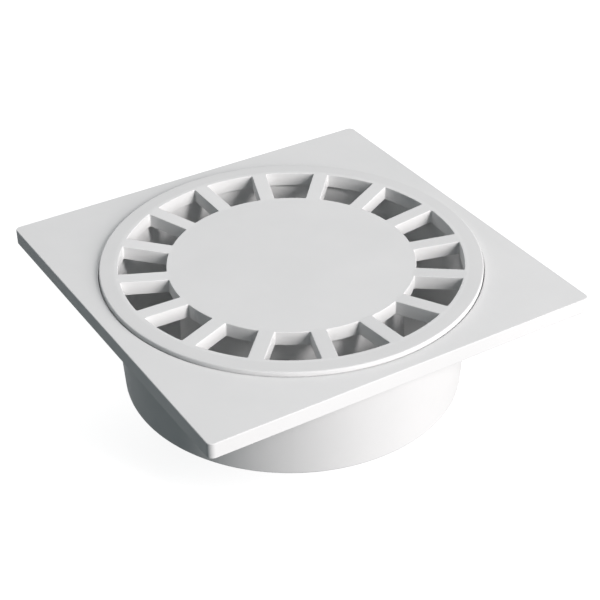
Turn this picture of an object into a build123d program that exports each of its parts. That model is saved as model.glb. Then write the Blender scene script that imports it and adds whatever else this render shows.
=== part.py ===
# Gully trap for a floor or a yard: a square frame with a tapered bowl, a round
# slotted grille that lies in the frame, and a bell that hangs under the grille
# and dips over the standpipe, so that the water left in the bowl seals the drain.
# Millimetres. +Z is up, and z = 0 is the lower rim of the outlet spigot.

import os
from math import cos, radians, tan

from build123d import *

# Grille: a round dished moulding, closed in the middle, with slots all round
grille_diameter = 182.8
grille_rise = 2.1          # its ring stands proud of the frame
dish_depth = 1.6           # the middle lies lower than the ring
dish_overlap = 1.2         # the slope starts and ends this far beyond the slots
grille_skin = 3.0          # thickness of its top
grille_wall = 1.8          # walls round the slots and at the rim
grille_edge_round = 0.7
ring_width = 9.0           # from the slots to the rim
slot_count = 16
slot_inset = 5.6           # from the bell's shoulder out to the slots
slot_corner = 0.6
rib_width = 7.4            # between two slots
slot_turn = 14.1           # direction of the first slot from +X, in degrees

# Frame: a square plate with its edge turned down
frame_margin = 8.2         # the frame at its narrowest, beside the grille
frame_edge_height = 7.7
frame_skin = 2.7
frame_wall = 2.4
frame_corner = 3.0
frame_edge_round = 0.5
seat_depth = 5.0           # from the frame's top down to the ledge
ledge_width = 7.4
corner_rib = 1.8
corner_rib_spread = 14.0   # between the ribs under a corner, in degrees
corner_ribs = 3            # under each corner
corner_count = 4

# Bowl, with the standpipe inside it and the spigot below it
bowl_depth = 61.6          # from the frame's top to the bowl's underside
bowl_wall = 2.2
bowl_floor = 3.0
bowl_draft = 3.4           # in degrees
bowl_foot_round = 1.0
bowl_inner_round = 4.0
outlet_diameter = 75.0
outlet_wall = 2.7
spigot_length = 32.0
spigot_chamfer = 1.5
standpipe_foot_round = 2.0
standpipe_lip_round = 0.8

# Bell
bell_diameter = 108.0      # at the shoulder, below the collar
bell_wall = 2.0
bell_draft = 1.5           # in degrees
bell_shoulder_round = 2.5
bell_foot_gap = 8.5        # water way between the bell and the bowl's floor
overflow_gap = 12.0        # air way between the standpipe's lip and the bell's ceiling
collar_wall = 1.8
collar_count = 4           # snap studs round the collar
stud_width = 9.0
stud_height = 1.6
stud_reach = 0.8

# Fits between the pieces
grille_clearance = 0.4     # round the grille, in its seat
collar_clearance = 0.25    # between the bell's collar and its socket
window_clearance = 0.4     # round each snap stud
seat_relief = 0.3          # the collar stops this short of the grille's skin

# Heights
bowl_bottom = spigot_length
frame_top = bowl_bottom + bowl_depth
frame_bottom = frame_top - frame_edge_height
ledge_top = frame_top - seat_depth
floor_top = bowl_bottom + bowl_floor
grille_top = frame_top + grille_rise
grille_depth = grille_rise + seat_depth
disc_top = grille_top - dish_depth
disc_under = disc_top - grille_skin
disc_bottom = disc_top - grille_depth
bell_top = disc_bottom
stud_level = (bell_top + disc_under) / 2
bell_ceiling = bell_top - bell_wall
bell_foot = floor_top + bell_foot_gap
standpipe_top = bell_ceiling - overflow_gap

# Radii
grille_radius = grille_diameter / 2
seat_radius = grille_radius + grille_clearance
frame_side = 2 * (seat_radius + frame_margin)
mouth_radius = seat_radius - ledge_width
outlet_radius = outlet_diameter / 2
bore_radius = outlet_radius - outlet_wall
bell_radius = bell_diameter / 2
bell_foot_radius = bell_radius + (bell_top - bell_foot) * tan(radians(bell_draft))
slot_outer = grille_radius - ring_width
slot_inner = bell_radius + slot_inset
slot_length = slot_outer - slot_inner
socket_outer = bell_radius - bell_shoulder_round
collar_radius = socket_outer - grille_wall - collar_clearance
dish_outer = slot_outer + dish_overlap
dish_inner = slot_inner - dish_overlap
slot_pitch = 360 / slot_count
rib_turn = slot_turn + slot_pitch / 2


def bowl_inner_at(z):
    """Radius of the bowl's inner wall at height z."""
    return mouth_radius - (ledge_top - z) * tan(radians(bowl_draft))


def bowl_outer_at(z):
    """Radius of the bowl's outer wall at height z."""
    return bowl_inner_at(z) + bowl_wall / cos(radians(bowl_draft))


def turned(points, rounds):
    """Solid of revolution from (radius, height) points; rounds maps a point's index to its radius."""
    outline = Polyline(*[(r, 0, z) for r, z in points], close=True)
    face = make_face(outline)
    for index, radius in rounds.items():
        r, z = points[index]
        corner = face.vertices().sort_by_distance((r, 0, z))[0]
        face = fillet(corner, radius)
    return revolve(face, Axis.Z)


def corner_pockets():
    """Hollows under the frame's four corners, with the stiffening ribs left standing."""
    reach = frame_side / 2 - frame_wall
    height = frame_edge_height - frame_skin
    plan = Rectangle(2 * reach, 2 * reach) - Circle(seat_radius + frame_wall)
    for corner in range(corner_count):
        diagonal = (corner + 0.5) * 360 / corner_count
        for rib in range(corner_ribs):
            turn = diagonal + corner_rib_spread * (rib - (corner_ribs - 1) / 2)
            plan -= Rot(0, 0, turn) * Pos(frame_side / 2, 0) * Rectangle(frame_side, corner_rib)
    return Pos(0, 0, frame_bottom) * extrude(plan, height)


def make_frame():
    """Square plate with a round seat sunk in it and hollow corners."""
    block = extrude(Rectangle(frame_side, frame_side), frame_edge_height)
    plate = Pos(0, 0, frame_bottom) * block
    plate = fillet(plate.edges().filter_by(Axis.Z), frame_corner)
    plate = fillet(plate.faces().sort_by(Axis.Z)[-1].edges(), frame_edge_round)
    seat = Pos(0, 0, ledge_top) * extrude(Circle(seat_radius), seat_depth)
    mouth = Pos(0, 0, frame_bottom) * extrude(Circle(mouth_radius), frame_edge_height)
    return plate - seat - mouth - corner_pockets()


def make_bowl():
    """Tapered bowl, floor, standpipe and spigot, turned as one profile."""
    points = [
        (bowl_inner_at(ledge_top), ledge_top),
        (bowl_inner_at(floor_top), floor_top),
        (outlet_radius, floor_top),
        (outlet_radius, standpipe_top),
        (bore_radius, standpipe_top),
        (bore_radius, 0),
        (outlet_radius - spigot_chamfer / 2, 0),
        (outlet_radius, spigot_chamfer),
        (outlet_radius, bowl_bottom),
        (bowl_outer_at(bowl_bottom), bowl_bottom),
        (bowl_outer_at(ledge_top), ledge_top),
    ]
    rounds = {
        1: bowl_inner_round,
        2: standpipe_foot_round,
        3: standpipe_lip_round,
        4: standpipe_lip_round,
        9: bowl_foot_round,
    }
    return turned(points, rounds)


def slot_faces():
    """The slots in plan: a ring cut by bars that stand for the ribs."""
    plan = Circle(slot_outer) - Circle(slot_inner)
    middle = (slot_outer + slot_inner) / 2
    bar = Rectangle(2 * slot_length, rib_width)
    plan -= PolarLocations(middle, slot_count, start_angle=rib_turn) * bar
    return fillet(plan.vertices(), slot_corner)


def rib_channels():
    """Hollows under the ribs, in plan, which leave a wall round every slot."""
    width = rib_width - 2 * grille_wall
    middle = (slot_outer + slot_inner) / 2
    bar = Rectangle(slot_length, width)
    return Sketch() + PolarLocations(middle, slot_count, start_angle=rib_turn) * bar


def stud_places(radius):
    """Places round the collar for the snap studs."""
    return PolarLocations(radius, collar_count, start_angle=slot_turn)


def dished(inner, outer, top_drop, bottom_drop, edge_round=0):
    """Ring from one radius to another, between two depths below the grille's dished top."""
    slope = dish_depth / (dish_outer - dish_inner)

    def height(radius):
        """Height of the dished top at a radius."""
        return disc_top + slope * (min(max(radius, dish_inner), dish_outer) - dish_inner)

    bends = [r for r in (dish_inner, dish_outer) if inner < r < outer]
    radii = [inner] + bends + [outer]
    upper = [(r, height(r) - top_drop) for r in radii]
    lower = [(r, height(r) - bottom_drop) for r in reversed(radii)]
    rounds = {len(upper) - 1: edge_round} if edge_round else {}
    return turned(upper + lower, rounds)


def make_grille():
    """Slotted dished top with a wall round each slot, a rim and the bell's socket."""
    top = dished(0, grille_radius, 0, grille_skin, grille_edge_round)
    rim = dished(grille_radius - grille_wall, grille_radius, grille_skin, grille_depth)
    walls = dished(slot_inner - grille_wall, slot_outer + grille_wall, grille_skin, grille_depth)
    socket = dished(socket_outer - grille_wall, socket_outer, grille_skin, grille_depth)
    lift = Pos(0, 0, disc_bottom)
    height = grille_top - disc_bottom
    window = Box(
        4 * grille_wall,
        stud_width + 2 * window_clearance,
        stud_height + 2 * window_clearance,
    )
    windows = Pos(0, 0, stud_level) * (Part() + stud_places(socket_outer) * window)
    walls -= lift * extrude(rib_channels(), height)
    return top + rim + walls + (socket - windows) - lift * extrude(slot_faces(), height)


def make_bell():
    """Inverted cup with a collar that snaps into the grille's socket."""
    collar_top = disc_under - seat_relief
    inner_top = bell_radius - bell_wall + bell_wall * tan(radians(bell_draft))
    points = [
        (0, bell_top),
        (collar_radius - collar_wall, bell_top),
        (collar_radius - collar_wall, collar_top),
        (collar_radius, collar_top),
        (collar_radius, bell_top),
        (bell_radius, bell_top),
        (bell_foot_radius, bell_foot),
        (bell_foot_radius - bell_wall, bell_foot),
        (inner_top, bell_ceiling),
        (0, bell_ceiling),
    ]
    bell = turned(points, {5: bell_shoulder_round, 8: bell_shoulder_round / 2})
    depth = stud_reach + collar_wall / 2
    stud = Pos(-depth / 2, 0, 0) * Box(depth, stud_width, stud_height)
    studs = Pos(0, 0, stud_level) * (Part() + stud_places(collar_radius + stud_reach) * stud)
    return bell + studs


pieces = {
    "body": make_frame() + make_bowl(),
    "grille": make_grille(),
    "bell": make_bell(),
}

os.makedirs("parts", exist_ok=True)
for name, shape in pieces.items():
    export_step(shape, f"parts/{name}.step")
    print(name, "volume", round(shape.volume / 1000, 1), "cm3")
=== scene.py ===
import bpy
import numpy as np
from math import radians
from mathutils import Matrix, Vector


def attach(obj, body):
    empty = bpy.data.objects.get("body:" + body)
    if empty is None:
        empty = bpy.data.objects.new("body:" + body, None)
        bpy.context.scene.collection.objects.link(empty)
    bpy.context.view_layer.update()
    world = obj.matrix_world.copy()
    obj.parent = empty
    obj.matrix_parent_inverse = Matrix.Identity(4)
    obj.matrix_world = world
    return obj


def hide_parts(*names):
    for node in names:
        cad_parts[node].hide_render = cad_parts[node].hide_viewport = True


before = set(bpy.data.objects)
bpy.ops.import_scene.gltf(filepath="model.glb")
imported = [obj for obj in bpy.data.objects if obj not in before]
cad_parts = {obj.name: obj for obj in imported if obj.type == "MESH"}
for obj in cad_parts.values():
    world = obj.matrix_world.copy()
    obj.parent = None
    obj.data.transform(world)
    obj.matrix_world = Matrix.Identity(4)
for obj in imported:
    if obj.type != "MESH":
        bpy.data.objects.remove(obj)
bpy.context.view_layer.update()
print("frame loaded:", ", ".join(sorted(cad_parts)))

metresPerMm = 0.001
weldStep = 0.0005  # mm; points closer than this become one
hair = 1e-6  # mm; tells apart what lies at one place
filletSteps = 6
sharpAngle = 35  # degrees; a crease above it stays sharp
normalWeight = 90


def roundedProfile(points):
    # Open profile from rows of (radius, height, rounding). Each corner between its ends gives way
    # to an arc that touches both of the corner's sides: it starts rounding / tan(half the angle
    # between the sides) away from the corner.
    rows = np.asarray(points, float)
    corner, size = rows[1:-1, :2], rows[1:-1, 2:]
    toBefore = rows[:-2, :2] - corner
    toAfter = rows[2:, :2] - corner
    toBefore /= np.linalg.norm(toBefore, axis=1, keepdims=True)
    toAfter /= np.linalg.norm(toAfter, axis=1, keepdims=True)
    half = np.arccos(np.clip((toBefore * toAfter).sum(1, keepdims=True), -1, 1)) / 2
    bisector = toBefore + toAfter
    bisector /= np.linalg.norm(bisector, axis=1, keepdims=True)
    centre = corner + bisector * size / np.sin(half)
    fromCentre = corner + toBefore * size / np.tan(half) - centre
    toCentre = corner + toAfter * size / np.tan(half) - centre
    sweep = (np.pi - 2 * half)[:, :, None]
    t = np.linspace(0, 1, filletSteps + 1)[None, :, None]
    swung = fromCentre[:, None] * np.sin((1 - t) * sweep) + toCentre[:, None] * np.sin(t * sweep)
    arc = centre[:, None] + swung / np.sin(sweep)
    return np.concatenate([rows[:1, :2], arc.reshape(-1, 2), rows[-1:, :2]])


def revolved(profile, turns):
    # Grid of a profile carried round the Z axis: x = radius * cos(turn), y = radius * sin(turn).
    radius, height = np.asarray(profile, float).T
    x = np.cos(turns)[:, None] * radius
    y = np.sin(turns)[:, None] * radius
    return np.stack([x, y, np.broadcast_to(height, x.shape)], axis=-1)


def gridQuads(rows, columns, closedRows=False, closedColumns=False):
    # Corner numbers of each cell of a grid whose points are numbered row by row.
    row = np.arange(rows if closedRows else rows - 1)[:, None]
    column = np.arange(columns if closedColumns else columns - 1)[None, :]
    nextRow = (row + 1) % rows
    nextColumn = (column + 1) % columns
    corners = [row * columns + column, nextRow * columns + column,
               nextRow * columns + nextColumn, row * columns + nextColumn]
    return np.stack(np.broadcast_arrays(*corners), axis=-1).reshape(-1, 4)


def insideOut(quads):
    # A profile that runs outwards along a top gives cells that face inwards: their corners turn
    # round.
    return quads[:, ::-1]


def revolvedGrid(profile, turns):
    # Points and outward cells of such a profile, carried once round.
    points = revolved(profile, turns)
    quads = gridQuads(len(turns), points.shape[1], closedRows=True)
    return points.reshape(-1, 3), insideOut(quads)


def turnedCopies(grids, turns):
    # The same grids turned about the Z axis by each angle: (x, y) becomes
    # (x cos - y sin, x sin + y cos).
    copies = []
    for points, quads in grids:
        for turn in turns:
            c, s = np.cos(turn), np.sin(turn)
            x, y, z = points.T
            copies.append((np.stack([x * c - y * s, x * s + y * c, z], axis=1), quads))
    return copies


def weldedFaces(grids):
    # Welds grids: points that share a place on a fine lattice become one point, and a cell that
    # loses corners by that turns into a triangle or goes. Gives the points, all faces' corners in
    # one row, and each face's number of sides.
    points = np.concatenate([g[0] for g in grids])
    offsets = np.cumsum([0] + [len(g[0]) for g in grids[:-1]])
    quads = np.concatenate([g[1] + o for g, o in zip(grids, offsets)])
    lattice = np.round(points / weldStep).astype(np.int64)
    _, first, number = np.unique(lattice, axis=0, return_index=True, return_inverse=True)
    quads = number.reshape(-1)[quads]
    kept = quads != np.roll(quads, 1, axis=1)
    sides = kept.sum(axis=1)
    whole = sides > 2
    corners = quads[whole][kept[whole]]
    used, corners = np.unique(corners, return_inverse=True)
    return points[first[used]] * metresPerMm, corners.reshape(-1), sides[whole]


def printClosure(name, places, corners, starts, sides):
    # Each edge of a closed mesh is walked once either way. The volume is the sum of the tetrahedra
    # from the origin to each triangle: a . (b x c) / 6.
    following = np.arange(1, len(corners) + 1)
    following[starts + sides - 1] = starts
    after = corners[following]
    forward = corners.astype(np.int64) * len(places) + after
    backward = after.astype(np.int64) * len(places) + corners
    openEdges = len(np.setdiff1d(forward, backward)) + len(forward) - len(np.unique(forward))
    volume = 0
    for turn in (1, 2):
        at = starts[sides > turn + 1]
        a, b, c = places[corners[at]], places[corners[at + turn]], places[corners[at + turn + 1]]
        volume += np.einsum("ij,ij->i", a, np.cross(b, c)).sum() / 6
    print(f"{name}: {len(sides)} faces, {openEdges} open edges, {volume * 1e6:.1f} cm3")


def buildPiece(name, grids):
    places, corners, sides = weldedFaces(grids)
    starts = np.concatenate([[0], np.cumsum(sides)[:-1]])
    mesh = bpy.data.meshes.new(name)
    mesh.vertices.add(len(places))
    mesh.vertices.foreach_set("co", places.astype(np.float32).ravel())
    mesh.loops.add(len(corners))
    mesh.loops.foreach_set("vertex_index", corners.astype(np.int32))
    mesh.polygons.add(len(sides))
    mesh.polygons.foreach_set("loop_start", starts.astype(np.int32))
    mesh.update(calc_edges=True)
    mesh.validate(verbose=False)
    mesh.shade_smooth()
    mesh.set_sharp_from_angle(angle=radians(sharpAngle))
    printClosure(name, places, corners, starts, sides)

    piece = bpy.data.objects.new(name, mesh)
    bpy.context.scene.collection.objects.link(piece)
    return piece


def finishPiece(piece, node, material):
    piece.data.materials.append(material)
    even = piece.modifiers.new("evenShading", "WEIGHTED_NORMAL")
    even.keep_sharp = True
    even.weight = normalWeight
    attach(piece, "root")
    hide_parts(node)


grilleSizes = {
    "radius": 91.4,
    "top": 95.7,  # heights are measured from the spigot's lower rim
    "dishDepth": 1.6,
    "dishInner": 58.4,
    "dishOuter": 83.6,
    "discRings": (20.0, 40.0),  # radii at which the closed middle is divided
    "skin": 3.0,
    "depth": 7.1,
    "wall": 1.8,
    "edgeRound": 0.7,
    "underRound": 0.3,
    "slots": 16,
    "firstSlot": 14.1,  # degrees from +X
    "slotInner": 59.6,
    "slotOuter": 82.4,
    "slotCorner": 0.6,
    "slotEdgeRound": 0.35,
    "footRound": 0.25,
    "ribWidth": 7.4,
    "socketOuter": 51.5,
    "windows": 4,
    "windowHeight": 2.4,
    "windowLevel": 89.05,
    "windowHalf": 0.1,  # radians to each side of a slot's middle
}
arcSamples = 10  # along each of a slot's arcs
sideSamples = 8  # along its straight sides
cornerSamples = 8  # round each of its corners
slotEdgeSteps = 4
halfPitch = np.pi / grilleSizes["slots"]
ribAlong = np.array([np.cos(halfPitch), np.sin(halfPitch)])  # along the rib beside the first slot
ribInward = np.array([np.sin(halfPitch), -np.cos(halfPitch)])  # from that rib towards the slot


def dishHeight(radius):
    # Flat in the middle, a straight slope, then flat again at the ring.
    g = grilleSizes
    share = np.clip((radius - g["dishInner"]) / (g["dishOuter"] - g["dishInner"]), 0, 1)
    return g["top"] - g["dishDepth"] * (1 - share)


def onCircle(radius, turns):
    return radius * np.stack([np.cos(turns), np.sin(turns)], axis=1)


def withSide(inner, outer):
    # Joins an outline's inner and outer part by a straight side: a * (1 - t) + b * t.
    t = np.linspace(0, 1, sideSamples + 1)[1:-1, None]
    return np.concatenate([inner, inner[-1] * (1 - t) + outer[0] * t, outer])


def slotQuarter(grow):
    # Half of a slot's outline, grown outwards by grow, from the middle of its inner arc to the
    # middle of its outer arc. The corner arcs keep their centres: each lies slotCorner from the arc
    # and from the side.
    g = grilleSizes
    parts = []
    for arcRadius, sign in ((g["slotInner"], 1), (g["slotOuter"], -1)):
        centreRadius = arcRadius + sign * g["slotCorner"]
        offset = g["ribWidth"] / 2 + g["slotCorner"]
        centre = ribAlong * np.sqrt(centreRadius ** 2 - offset ** 2) + ribInward * offset
        towardArc = -sign * centre / np.linalg.norm(centre)
        startTurn = np.arctan2(towardArc[1], towardArc[0])
        endTurn = np.arctan2(-ribInward[1], -ribInward[0])
        sweep = (endTurn - startTurn + np.pi) % (2 * np.pi) - np.pi
        turns = startTurn + sweep * np.linspace(0, 1, cornerSamples + 1)
        arc = centre + onCircle(g["slotCorner"] + grow, turns)
        tangent = np.arctan2(arc[0, 1], arc[0, 0])
        spread = np.linspace(0, tangent, arcSamples // 2 + 1)[:-1]
        parts.append(np.concatenate([onCircle(arcRadius - sign * grow, spread), arc]))
    return withSide(parts[0], parts[1][::-1])


def cellQuarter(innerRadius, outerRadius, channel):
    # Half of a cell's outline with the same samples as slotQuarter: along an arc to the rib's
    # middle line, then along that line. With a channel, it steps aside round the hollow under the
    # rib.
    g = grilleSizes
    slot = slotQuarter(0)
    arcCount = arcSamples // 2
    quarter = cornerSamples // 4
    picks = arcCount + cornerSamples + 1
    aside = g["ribWidth"] / 2 - g["wall"]
    parts = []
    for arcRadius, slotRadius, picked in ((innerRadius, g["slotInner"], slot[:picks]),
                                          (outerRadius, g["slotOuter"], slot[::-1][:picks])):
        turns = np.arctan2(picked[:arcCount + 1, 1], picked[:arcCount + 1, 0])
        toRib = np.linspace(turns[-1], halfPitch, quarter + 1)[1:]
        arc = onCircle(arcRadius, np.concatenate([turns, toRib]))
        lastReach = picked[-1] @ ribAlong
        if channel:
            onLine = np.linspace(arcRadius, slotRadius, quarter + 1)[1:, None] * ribAlong
            step = np.linspace(0, aside, quarter + 1)[1:, None] * ribInward
            away = np.linspace(slotRadius, lastReach, quarter + 1)[1:, None] * ribAlong
            line = np.concatenate([onLine, slotRadius * ribAlong + step, away + aside * ribInward])
        else:
            line = np.linspace(arcRadius, lastReach, 3 * quarter + 1)[1:, None] * ribAlong
        parts.append(np.concatenate([arc, line]))
    return withSide(parts[0], parts[1][::-1])


def mirroredLoop(quarter):
    # The other half of a symmetric outline, so that the whole goes once round.
    other = quarter[1:-1][::-1] * [1, -1]
    return np.concatenate([quarter, other])


def lifted(outline, drop):
    # A plan outline, mirrored to the whole, at a depth below the dished top.
    loop = mirroredLoop(outline)
    radius = np.linalg.norm(loop, axis=1)
    return np.column_stack([loop, dishHeight(radius) - drop])


def slotCell(ringIn, ringOut):
    # One cell with its slot: outline on top, rounded edge, wall of the slot, rounded foot, outline
    # below. A rounded edge of size r is r * (1 - sin a) aside and r * (1 - cos a) down.
    g = grilleSizes
    angles = np.linspace(0, np.pi / 2, slotEdgeSteps + 1)
    loops = [lifted(cellQuarter(ringIn, ringOut, False), 0)]
    for a in angles:
        aside, down = g["slotEdgeRound"] * (1 - np.sin(a)), g["slotEdgeRound"] * (1 - np.cos(a))
        loops.append(lifted(slotQuarter(aside), down))
    loops.append(lifted(slotQuarter(0), g["depth"] / 2))
    for a in angles[::-1]:
        aside, up = g["footRound"] * (1 - np.sin(a)), g["footRound"] * (1 - np.cos(a))
        loops.append(lifted(slotQuarter(aside), g["depth"] - up))
    loops.append(lifted(cellQuarter(ringIn, ringOut, True), g["depth"]))
    cell = np.stack(loops)
    return cell.reshape(-1, 3), gridQuads(len(loops), cell.shape[1], closedColumns=True)


def ribChannel(ringIn, ringOut):
    # The hollow under a rib: a row of sections across it, closed at both ends.
    g = grilleSizes
    aside = g["ribWidth"] / 2 - g["wall"]
    outline = cellQuarter(ringIn, ringOut, True)
    reach = (outline @ ribAlong)[np.abs(outline @ ribInward - aside) < hair]
    half = np.linspace(0, aside, cornerSamples // 4 + 1)
    across = np.concatenate([-half[-1:], -half[::-1], half[1:], half[-1:]])
    atFoot = np.zeros(len(across), bool)
    atFoot[[0, -1]] = True
    plan = reach[:, None, None] * ribAlong + across[None, :, None] * ribInward
    top = dishHeight(np.linalg.norm(plan, axis=2))
    height = top - np.where(atFoot, g["depth"], g["skin"])
    channel = np.concatenate([plan, height[:, :, None]], axis=2)
    firstEnd, lastEnd = channel[:1].copy(), channel[-1:].copy()
    firstEnd[:, :, 2] = top[:1] - g["depth"]
    lastEnd[:, :, 2] = top[-1:] - g["depth"]
    channel = np.concatenate([firstEnd, channel, lastEnd])
    return channel.reshape(-1, 3), gridQuads(channel.shape[0], channel.shape[1])


def socketGrid(ringIn, innerTurns, slotTurns):
    # The underside of the closed middle with the bell's socket. Four windows let the bell's studs
    # in: the wall's cells there go, and cells across the wall frame them.
    g = grilleSizes
    low = g["windowLevel"] - g["windowHeight"] / 2
    high = g["windowLevel"] + g["windowHeight"] / 2
    floor = g["top"] - g["dishDepth"] - g["depth"]
    ceiling = g["top"] - g["dishDepth"] - g["skin"]
    out = g["socketOuter"]
    inside = out - g["wall"]
    under = np.array([(ringIn, floor), (ringIn, ceiling), (out, ceiling), (out, high), (out, low),
                      (out, floor), (inside, floor), (inside, low), (inside, high),
                      (inside, ceiling), (g["discRings"][0], ceiling), (0, ceiling)])
    outHigh, outLow, inLow, inHigh = 3, 4, 7, 8  # places in that list
    count = len(under)
    quads = gridQuads(len(innerTurns), count, closedRows=True).reshape(len(innerTurns), -1, 4)
    perCell = len(innerTurns) // g["slots"]
    cellTurn = (innerTurns.reshape(g["slots"], perCell) - slotTurns[:, None])[0]
    columns = np.flatnonzero(np.abs(cellTurn) < g["windowHalf"])
    kept = np.ones(quads.shape[:2], bool)
    frames = []
    for slot in range(0, g["slots"], g["slots"] // g["windows"]):
        start, stop = slot * perCell + columns[0], slot * perCell + columns[-1]
        kept[start:stop, [outHigh, inLow]] = False
        here = np.arange(start, stop)[:, None] * count
        after = here + count
        left, right = start * count, stop * count
        frames += [
            np.hstack([here + outLow, here + inLow, after + inLow, after + outLow]),
            np.hstack([here + outHigh, after + outHigh, after + inHigh, here + inHigh]),
            [[left + outHigh, left + inHigh, left + inLow, left + outLow]],
            [[right + outHigh, right + outLow, right + inLow, right + inHigh]],
        ]
    quads = np.concatenate([quads[kept]] + frames)
    return revolved(under, innerTurns).reshape(-1, 3), insideOut(quads)


def makeGrille():
    g = grilleSizes
    ringIn, ringOut = g["slotInner"] - g["wall"], g["slotOuter"] + g["wall"]
    slotTurns = radians(g["firstSlot"]) + np.arange(g["slots"]) * 2 * halfPitch
    grids = turnedCopies([slotCell(ringIn, ringOut), ribChannel(ringIn, ringOut)], slotTurns)

    # Rings inside and outside the cells share the turns of the cells' arcs.
    outline = cellQuarter(ringIn, ringOut, False)
    arcCount = arcSamples // 2 + cornerSamples // 4 + 1

    def allTurns(arc):
        half = np.arctan2(arc[:, 1], arc[:, 0])
        oneCell = np.concatenate([-half[::-1], half[1:-1]])
        return (slotTurns[:, None] + oneCell[None, :]).ravel()

    innerTurns = allTurns(outline[:arcCount])
    outerTurns = allTurns(outline[::-1][:arcCount])

    top, under, foot = g["top"], g["top"] - g["skin"], g["top"] - g["depth"]
    rimIn = g["radius"] - g["wall"]
    grids.append(revolvedGrid(roundedProfile([
        (ringOut, top, 0),
        (g["radius"], top, g["edgeRound"]),
        (g["radius"], foot, g["footRound"]),
        (rimIn, foot, g["footRound"]),
        (rimIn, under, g["underRound"]),
        (ringOut, under, g["underRound"]),
        (ringOut, foot, 0),
    ]), outerTurns))

    radii = np.array([0, *g["discRings"], ringIn])
    grids.append(revolvedGrid(np.column_stack([radii, dishHeight(radii)]), innerTurns))
    grids.append(socketGrid(ringIn, innerTurns, slotTurns))
    return buildPiece("slottedGrille", grids)


bodySizes = {
    "halfSide": 100.0,
    "top": 93.6,
    "edgeHeight": 7.7,
    "skin": 2.7,
    "wall": 2.4,
    "corner": 3.0,
    "edgeRound": 0.5,
    "footRound": 0.3,
    "seat": 91.8,
    "seatEdgeRound": 0.4,
    "ledge": 88.6,
    "ledgeRound": 0.4,
    "mouth": 84.4,
    "rib": 1.8,
    "ribSpread": 14.0,  # degrees between the ribs under a corner
    "bowlBottom": 32.0,
    "bowlWall": 2.2,
    "bowlFloor": 3.0,
    "draft": 3.4,  # degrees
    "footCorner": 1.0,
    "innerCorner": 4.0,
    "jointRound": 0.8,  # where the spigot and the frame meet the bowl
    "outlet": 37.5,
    "bore": 34.8,
    "boreRound": 0.3,
    "spigotChamfer": 1.5,
    "chamferRound": 0.2,
    "standpipeTop": 73.0,
    "standpipeFoot": 2.0,
    "standpipeLip": 0.8,
}
columnStep = 1.5  # degrees between the columns of the frame's profile
cornerColumns = 5  # beside each side of a corner's rib
ribShares = np.array([0.33, 0.66, 0.94, 1.0])  # columns from a corner rib's middle to its side
plateFootSteps = 3
plateEdgeSteps = 6


def bodyColumns():
    # Where the frame's profile is carried: a turn, a shift aside from that ray, and whether the
    # hollow under the frame is cut there. A rib's two sides have two columns each, one of either
    # kind.
    b = bodySizes
    half = b["rib"] / 2
    edge = np.arcsin(half / (b["seat"] + b["wall"]))
    quarterTurn = np.pi / 2
    spread = radians(b["ribSpread"])

    def solid(turn, shifts):
        return [(turn, s, 0) for s in shifts]

    def hollow(start, stop):
        count = int(round((stop - start) / radians(columnStep)))
        return [(t, 0, 1) for t in np.linspace(start + edge, stop - edge, count + 1)[1:-1]]

    # The columns beside a corner's rib lie at even steps of the corner's own arc: corner * sin(a).
    steps = np.linspace(np.arcsin(half / b["corner"]), np.pi / 4, cornerColumns + 1)[1:]
    beside = b["corner"] * np.sin(steps)

    columns = solid(0, [0, *(half * ribShares)]) + [(0, half, 1)] + [(0, s, 1) for s in beside]
    last = 0
    for turn in (spread, quarterTurn - spread):
        columns += hollow(last, turn) + [(turn, -half, 1)]
        columns += solid(turn, [-half, 0, half]) + [(turn, half, 1)]
        last = turn
    columns += hollow(last, quarterTurn) + [(quarterTurn, -s, 1) for s in beside[::-1]]
    columns += [(quarterTurn, -half, 1)] + solid(quarterTurn, -half * ribShares[::-1])
    one = np.array(columns, float)
    turns = np.concatenate([one[:, 0] + np.pi / 4 + quarterTurn * k for k in range(4)])
    return turns, np.tile(one[:, 1], 4), np.tile(one[:, 2], 4) > 0


def alongRay(turns, shifts, reach):
    # Point at a reach along each ray, moved aside by its shift.
    x = np.cos(turns) * reach - np.sin(turns) * shifts
    y = np.sin(turns) * reach + np.cos(turns) * shifts
    return np.stack([x, y], axis=1)


def squareReach(turns, shifts, halfSide, corner):
    # How far a ray goes to a square with round corners: first to the straight sides, and beyond
    # their ends to the circle of the corner, by the distance of the circle's centre from the ray.
    tiny = 1e-9
    ex, ey = np.cos(turns), np.sin(turns)
    sideX = (halfSide + shifts * ey * np.sign(ex)) / np.maximum(np.abs(ex), tiny)
    sideY = (halfSide - shifts * ex * np.sign(ey)) / np.maximum(np.abs(ey), tiny)
    straight = np.minimum(sideX, sideY)
    point = alongRay(turns, shifts, straight)
    inner = halfSide - corner
    centre = inner * np.sign(point)
    awayX = centre[:, 0] + shifts * ey
    awayY = centre[:, 1] - shifts * ex
    nearest = awayX * ex + awayY * ey
    asideSquared = awayX ** 2 + awayY ** 2 - nearest ** 2
    curved = nearest + np.sqrt(np.maximum(corner ** 2 - asideSquared, 0))
    return np.where(np.abs(point).min(axis=1) > inner, curved, straight)


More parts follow.
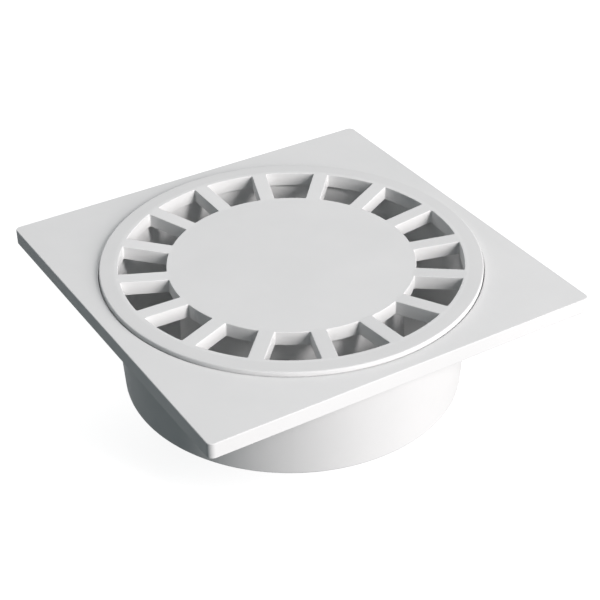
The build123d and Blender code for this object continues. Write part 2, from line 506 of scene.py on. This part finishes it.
def platePart(turns, shifts, hollow):
    # Outer part of the profile, from under the seat's wall outwards and up to the frame's top.
    b = bodySizes
    bottom = b["top"] - b["edgeHeight"]
    seatOut = b["seat"] + b["wall"]

    def loop(outline, height):
        level = np.broadcast_to(height, len(turns))
        return np.column_stack([alongRay(turns, shifts, outline), level])

    circle = np.sqrt(seatOut ** 2 - shifts ** 2)
    square = squareReach(turns, shifts, b["halfSide"] - b["wall"], 0)
    roof = np.where(hollow, b["top"] - b["skin"], bottom)
    loops = [loop(circle, bottom), loop(circle, roof), loop(square, roof), loop(square, bottom)]

    def rounded(size, angle):
        inset = size * (1 - np.sin(angle))
        return squareReach(turns, shifts, b["halfSide"] - inset, b["corner"] - inset)

    for a in np.linspace(0, np.pi / 2, plateFootSteps + 1):
        size = b["footRound"]
        loops.append(loop(rounded(size, a), bottom + size * (1 - np.cos(a))))
    for a in np.linspace(np.pi / 2, 0, plateEdgeSteps + 1):
        size = b["edgeRound"]
        loops.append(loop(rounded(size, a), b["top"] - size * (1 - np.cos(a))))
    return np.stack(loops, axis=1)


def bowlProfile():
    # The turned part, from the seat down into the bowl, up and down the standpipe, and up outside.
    # Its ends only give the first and the last corner their directions and are dropped.
    b = bodySizes
    bottom = b["top"] - b["edgeHeight"]
    floor = b["bowlBottom"] + b["bowlFloor"]
    draft = radians(b["draft"])

    def innerAt(height):
        return b["mouth"] - (b["ledge"] - height) * np.tan(draft)

    def outerAt(height):
        return innerAt(height) + b["bowlWall"] / np.cos(draft)

    return roundedProfile([
        (b["halfSide"], b["top"], 0),
        (b["seat"], b["top"], b["seatEdgeRound"]),
        (b["seat"], b["ledge"], b["ledgeRound"]),
        (b["mouth"], b["ledge"], b["ledgeRound"]),
        (innerAt(floor), floor, b["innerCorner"]),
        (b["outlet"], floor, b["standpipeFoot"]),
        (b["outlet"], b["standpipeTop"], b["standpipeLip"]),
        (b["bore"], b["standpipeTop"], b["standpipeLip"]),
        (b["bore"], 0, b["boreRound"]),
        (b["outlet"] - b["spigotChamfer"] / 2, 0, b["chamferRound"]),
        (b["outlet"], b["spigotChamfer"], b["chamferRound"]),
        (b["outlet"], b["bowlBottom"], b["jointRound"]),
        (outerAt(b["bowlBottom"]), b["bowlBottom"], b["footCorner"]),
        (outerAt(bottom), bottom, b["jointRound"]),
        (b["seat"] + b["wall"], bottom, 0),
    ])[1:-1]


def makeBody():
    turns, shifts, hollow = bodyColumns()
    home = turns + np.arcsin(shifts / (bodySizes["seat"] + bodySizes["wall"]))
    inner = revolved(bowlProfile(), home)
    body = np.concatenate([platePart(turns, shifts, hollow), inner], axis=1)
    quads = gridQuads(len(turns), body.shape[1], closedRows=True, closedColumns=True)
    return buildPiece("gullyBody", [(body.reshape(-1, 3), quads)])


bellSizes = {
    "top": 87.0,
    "foot": 43.5,
    "shoulder": 54.0,
    "footRadius": 55.14,
    "wall": 2.0,
    "innerDraft": 0.05,  # the wall's slope over the thickness of the top
    "shoulderRound": 2.5,
    "rimRound": 0.5,
    "collarTop": 90.8,
    "collarRadius": 49.45,
    "collarWall": 1.8,
    "collarRound": 0.3,
    "collarFoot": 0.4,
    "studs": 4,
    "studWidth": 9.0,
    "studHeight": 1.6,
    "studReach": 0.8,
    "studLevel": 89.05,
    "studColumns": 9,
    "plainColumns": 52,  # between two studs
}


def makeBell():
    # The studs are two points of the profile on the collar, pushed outwards over their columns.
    # They are told from the collar's own points by lying a hair further out.
    s = bellSizes
    collar = s["collarRadius"]
    collarIn = collar - s["collarWall"]
    low = s["studLevel"] - s["studHeight"] / 2
    high = s["studLevel"] + s["studHeight"] / 2
    ceiling = s["top"] - s["wall"]
    innerTop = s["shoulder"] - s["wall"] + s["innerDraft"]
    profile = roundedProfile([
        (0, s["top"], 0),
        (collarIn, s["top"], s["collarFoot"]),
        (collarIn, s["collarTop"], s["collarRound"]),
        (collar, s["collarTop"], s["collarRound"]),
        (collar, high, 0),
        (collar + hair, high - hair, 0),
        (collar + 2 * hair, low + hair, 0),
        (collar, low, 0),
        (collar, s["top"], s["collarFoot"]),
        (s["shoulder"], s["top"], s["shoulderRound"]),
        (s["footRadius"], s["foot"], s["rimRound"]),
        (s["footRadius"] - s["wall"], s["foot"], s["rimRound"]),
        (innerTop, ceiling, s["shoulderRound"] / 2),
        (0, ceiling, 0),
    ])
    edge = np.arcsin(s["studWidth"] / 2 / (collar + s["studReach"]))
    pitch = 2 * np.pi / s["studs"]
    onStud = np.linspace(-edge, edge, s["studColumns"])
    plain = np.linspace(edge, pitch - edge, s["plainColumns"])
    starts = radians(grilleSizes["firstSlot"]) + np.arange(s["studs"]) * pitch
    turns = (starts[:, None] + np.concatenate([onStud, plain])[None, :]).ravel()
    stud = np.tile(np.arange(len(onStud) + len(plain)) < len(onStud), s["studs"])
    onFace = (profile[:, 0] > collar) & (profile[:, 0] < collar + 10 * hair)
    bell, quads = revolvedGrid(profile, turns)
    pushed = (stud[:, None] & onFace[None, :]).ravel()
    bell[pushed, :2] *= (collar + s["studReach"]) / collar
    return buildPiece("waterSealBell", [(bell, quads)])


plasticLook = {
    "white": (0.735, 0.735, 0.735),
    "whiteShade": (0.711, 0.713, 0.713),
    "shadeFrom": 0.35,  # the clouds' noise between which the two whites blend
    "shadeTo": 0.65,
    "ior": 1.53,
    "gloss": 0.06,
    "roughness": 0.55,
    "roughnessSpread": 0.06,
    "bandShade": 0.955,  # the grille's outer ring is a little greyer: its base colour is scaled by this beyond bandFrom
    "bandFrom": 0.0838,
    "bandFull": 0.0850,
    "patternSlant": 0.7,
    "cloudsPerMetre": 22.0,
    "cloudDetail": 5,
    "cloudRoughness": 0.6,
    "grainPerMetre": 900.0,
    "ripplePerMetre": 130.0,
    "fineDetail": 2,
    "fineRoughness": 0.5,
    "grainHeight": 0.00001,
    "rippleHeight": 0.00003,
    "bumpStrength": 0.5,
}


def bandShaded(nodes, links, objectPlace, colour):
    # Darkens a colour beyond a distance from the Z axis: sqrt(x * x + y * y).
    p = plasticLook
    flat = nodes.new("ShaderNodeVectorMath")
    flat.operation = "MULTIPLY"
    flat.inputs[1].default_value = (1, 1, 0)
    links.new(objectPlace, flat.inputs[0])
    length = nodes.new("ShaderNodeVectorMath")
    length.operation = "LENGTH"
    links.new(flat.outputs["Vector"], length.inputs[0])
    shade = nodes.new("ShaderNodeMapRange")
    shade.inputs["From Min"].default_value = p["bandFrom"]
    shade.inputs["From Max"].default_value = p["bandFull"]
    shade.inputs["To Min"].default_value = 1
    shade.inputs["To Max"].default_value = p["bandShade"]
    links.new(length.outputs["Value"], shade.inputs["Value"])
    shaded = nodes.new("ShaderNodeVectorMath")
    shaded.operation = "SCALE"
    links.new(colour, shaded.inputs[0])
    links.new(shade.outputs["Result"], shaded.inputs["Scale"])
    return shaded.outputs["Vector"]


def mouldedPlastic(name, shift, greyerRing=False):
    # Clouds of slightly greyer white, a ripple left by the mould's flow and a fine grain from its
    # steel. The shift gives each piece its own part of the pattern.
    p = plasticLook
    material = bpy.data.materials.new(name)
    material.use_nodes = True
    nodes, links = material.node_tree.nodes, material.node_tree.links
    shader = nodes["Principled BSDF"]
    place = nodes.new("ShaderNodeTexCoord")
    centre = nodes.new("ShaderNodeMapping")
    centre.inputs["Location"].default_value = (shift, shift * p["patternSlant"], 0)
    links.new(place.outputs["Object"], centre.inputs["Vector"])

    def noise(scale, detail, rough):
        made = nodes.new("ShaderNodeTexNoise")
        made.inputs["Scale"].default_value = scale
        made.inputs["Detail"].default_value = detail
        made.inputs["Roughness"].default_value = rough
        links.new(centre.outputs["Vector"], made.inputs["Vector"])
        return made.outputs["Fac"]

    def bump(height, distance):
        made = nodes.new("ShaderNodeBump")
        made.inputs["Strength"].default_value = p["bumpStrength"]
        made.inputs["Distance"].default_value = distance
        links.new(height, made.inputs["Height"])
        return made

    clouds = noise(p["cloudsPerMetre"], p["cloudDetail"], p["cloudRoughness"])
    ripple = noise(p["ripplePerMetre"], p["fineDetail"], p["fineRoughness"])
    grain = noise(p["grainPerMetre"], p["fineDetail"], p["fineRoughness"])

    ramp = nodes.new("ShaderNodeValToRGB")
    shadeEnd, whiteEnd = ramp.color_ramp.elements
    shadeEnd.position, shadeEnd.color = p["shadeFrom"], (*p["whiteShade"], 1)
    whiteEnd.position, whiteEnd.color = p["shadeTo"], (*p["white"], 1)
    links.new(clouds, ramp.inputs["Fac"])
    colour = ramp.outputs["Color"]
    # The grille's outer ring gets its base colour scaled a little greyer, beyond bandFrom from the
    # Z axis.
    if greyerRing:
        colour = bandShaded(nodes, links, place.outputs["Object"], colour)
    links.new(colour, shader.inputs["Base Color"])

    spread = nodes.new("ShaderNodeMapRange")
    spread.inputs["To Min"].default_value = p["roughness"] - p["roughnessSpread"]
    spread.inputs["To Max"].default_value = p["roughness"] + p["roughnessSpread"]
    links.new(ripple, spread.inputs["Value"])
    links.new(spread.outputs["Result"], shader.inputs["Roughness"])

    rippleBump = bump(ripple, p["rippleHeight"])
    grainBump = bump(grain, p["grainHeight"])
    links.new(rippleBump.outputs["Normal"], grainBump.inputs["Normal"])
    links.new(grainBump.outputs["Normal"], shader.inputs["Normal"])

    shader.inputs["IOR"].default_value = p["ior"]
    shader.inputs["Specular IOR Level"].default_value = p["gloss"]
    return material


studio = {
    "floorHalf": 3.0,
    "floorLevel": -0.0002,  # just clear of the spigot's rim
    "floorFade": (0.45, 1.1),  # between these distances the floor's own white grows to the full
    "floorGrey": (0.125, 0.138, 0.142),  # what the floor sends back to the object
    "floorWhite": 0.86,
    "floorShadow": 0.35,
    "ambient": 0.17,
    "ambientTint": (0.80, 0.95, 1.0),
    "keyFrom": (0.342, -0.940, 0.44),
    "keyAway": 2.0,
    "keySize": (0.35, 1.5),
    "keyWatts": 56.7,
    "topFrom": (0.0, 0.67, 0.8),
    "topAway": 1.8,
    "topSize": (0.9, 0.9),
    "topWatts": 13.0,
    "lampTint": (1.0, 0.97, 0.965),
    "lampTarget": (0, 0, 0.08),
}


def seenDirectly(nodes, links):
    # 1 for rays from the camera, off a gloss or through something clear, and 0 for all others.
    path = nodes.new("ShaderNodeLightPath")
    found = path.outputs["Is Camera Ray"]
    for other in ("Is Glossy Ray", "Is Transmission Ray"):
        larger = nodes.new("ShaderNodeMath")
        larger.operation = "MAXIMUM"
        links.new(found, larger.inputs[0])
        links.new(path.outputs[other], larger.inputs[1])
        found = larger.outputs[0]
    return found


def mixedBySight(nodes, links, otherwise, direct):
    mix = nodes.new("ShaderNodeMixShader")
    links.new(seenDirectly(nodes, links), mix.inputs[0])
    links.new(otherwise, mix.inputs[1])
    links.new(direct, mix.inputs[2])
    return mix.outputs[0]


def makeFloor():
    # A pale floor. Seen directly it is lifted to white, and the object's shadow still dims it.
    s = studio
    half, level, shadow = s["floorHalf"], s["floorLevel"], s["floorShadow"]
    mesh = bpy.data.meshes.new("studioFloor")
    corners = ((-half, -half), (half, -half), (half, half), (-half, half))
    mesh.from_pydata([(x, y, level) for x, y in corners], [], [(0, 1, 2, 3)])
    floor = bpy.data.objects.new("studioFloor", mesh)
    bpy.context.scene.collection.objects.link(floor)
    material = bpy.data.materials.new("paleFloor")
    material.use_nodes = True
    nodes, links = material.node_tree.nodes, material.node_tree.links
    nodes.remove(nodes["Principled BSDF"])
    grey = nodes.new("ShaderNodeBsdfDiffuse")
    grey.inputs["Color"].default_value = (*s["floorGrey"], 1)
    shadowed = nodes.new("ShaderNodeBsdfDiffuse")
    shadowed.inputs["Color"].default_value = (shadow, shadow, shadow, 1)
    place = nodes.new("ShaderNodeTexCoord")
    away = nodes.new("ShaderNodeVectorMath")
    away.operation = "LENGTH"
    links.new(place.outputs["Object"], away.inputs[0])
    fade = nodes.new("ShaderNodeMapRange")
    fade.inputs["From Min"].default_value, fade.inputs["From Max"].default_value = s["floorFade"]
    fade.inputs["To Min"].default_value = s["floorWhite"]
    fade.inputs["To Max"].default_value = 1
    links.new(away.outputs["Value"], fade.inputs["Value"])
    white = nodes.new("ShaderNodeEmission")
    links.new(fade.outputs["Result"], white.inputs["Strength"])
    seen = nodes.new("ShaderNodeAddShader")
    links.new(shadowed.outputs[0], seen.inputs[0])
    links.new(white.outputs[0], seen.inputs[1])
    surface = mixedBySight(nodes, links, grey.outputs[0], seen.outputs[0])
    links.new(surface, nodes["Material Output"].inputs["Surface"])
    mesh.materials.append(material)


def makeWorld():
    # White where it is seen directly, and a dim cool sky to everything else.
    s = studio
    world = bpy.data.worlds.new("studioWorld")
    bpy.context.scene.world = world
    world.use_nodes = True
    nodes, links = world.node_tree.nodes, world.node_tree.links
    dim = nodes["Background"]
    dim.inputs["Color"].default_value = (*s["ambientTint"], 1)
    dim.inputs["Strength"].default_value = s["ambient"]
    white = nodes.new("ShaderNodeBackground")
    white.inputs["Color"].default_value = (1, 1, 1, 1)
    white.inputs["Strength"].default_value = 1
    surface = mixedBySight(nodes, links, dim.outputs[0], white.outputs[0])
    links.new(surface, nodes["World Output"].inputs["Surface"])


def makeLamp(kind):
    # A rectangular lamp on the line from the target in its direction, turned to face the target.
    s = studio
    lamp = bpy.data.lights.new(kind + "Lamp", "AREA")
    lamp.shape = "RECTANGLE"
    lamp.size, lamp.size_y = s[kind + "Size"]
    lamp.energy = s[kind + "Watts"]
    lamp.color = s["lampTint"]
    holder = bpy.data.objects.new(kind + "Lamp", lamp)
    bpy.context.scene.collection.objects.link(holder)
    back = Vector(s[kind + "From"]).normalized()
    holder.location = Vector(s["lampTarget"]) + back * s[kind + "Away"]
    holder.rotation_mode = "QUATERNION"
    holder.rotation_quaternion = (-back).to_track_quat("-Z", "Y")


view = {
    "place": (-0.312675, -0.520107, 0.480752),
    "right": (0.850634, -0.525689, -0.008513),
    "down": (-0.300061, -0.472116, -0.828897),
    "focalPixels": 1505.9,
    "imagePixels": 600,
    "sensor": 36.0,
    "clip": (0.02, 20),
}


def makeCamera():
    v = view
    data = bpy.data.cameras.new("camera")
    data.sensor_width = v["sensor"]
    data.lens = v["focalPixels"] / v["imagePixels"] * v["sensor"]
    data.clip_start, data.clip_end = v["clip"]
    camera = bpy.data.objects.new("camera", data)
    bpy.context.scene.collection.objects.link(camera)
    right, down = Vector(v["right"]).normalized(), Vector(v["down"]).normalized()
    axes = Matrix((right, -down, right.cross(-down))).transposed().to_4x4()
    camera.matrix_world = Matrix.Translation(v["place"]) @ axes
    bpy.context.scene.camera = camera


bpy.context.scene.view_settings.view_transform = "Standard"
makeWorld()
makeFloor()
makeLamp("key")
makeLamp("top")
makeCamera()
print("studio ready")

finishPiece(makeBody(), "body", mouldedPlastic("whitePvcBody", 0.3))
grillePlastic = mouldedPlastic("whitePvcGrille", 0.9, greyerRing=True)
finishPiece(makeGrille(), "grille", grillePlastic)
finishPiece(makeBell(), "bell", mouldedPlastic("whitePvcBell", 1.7))
print("pieces ready")
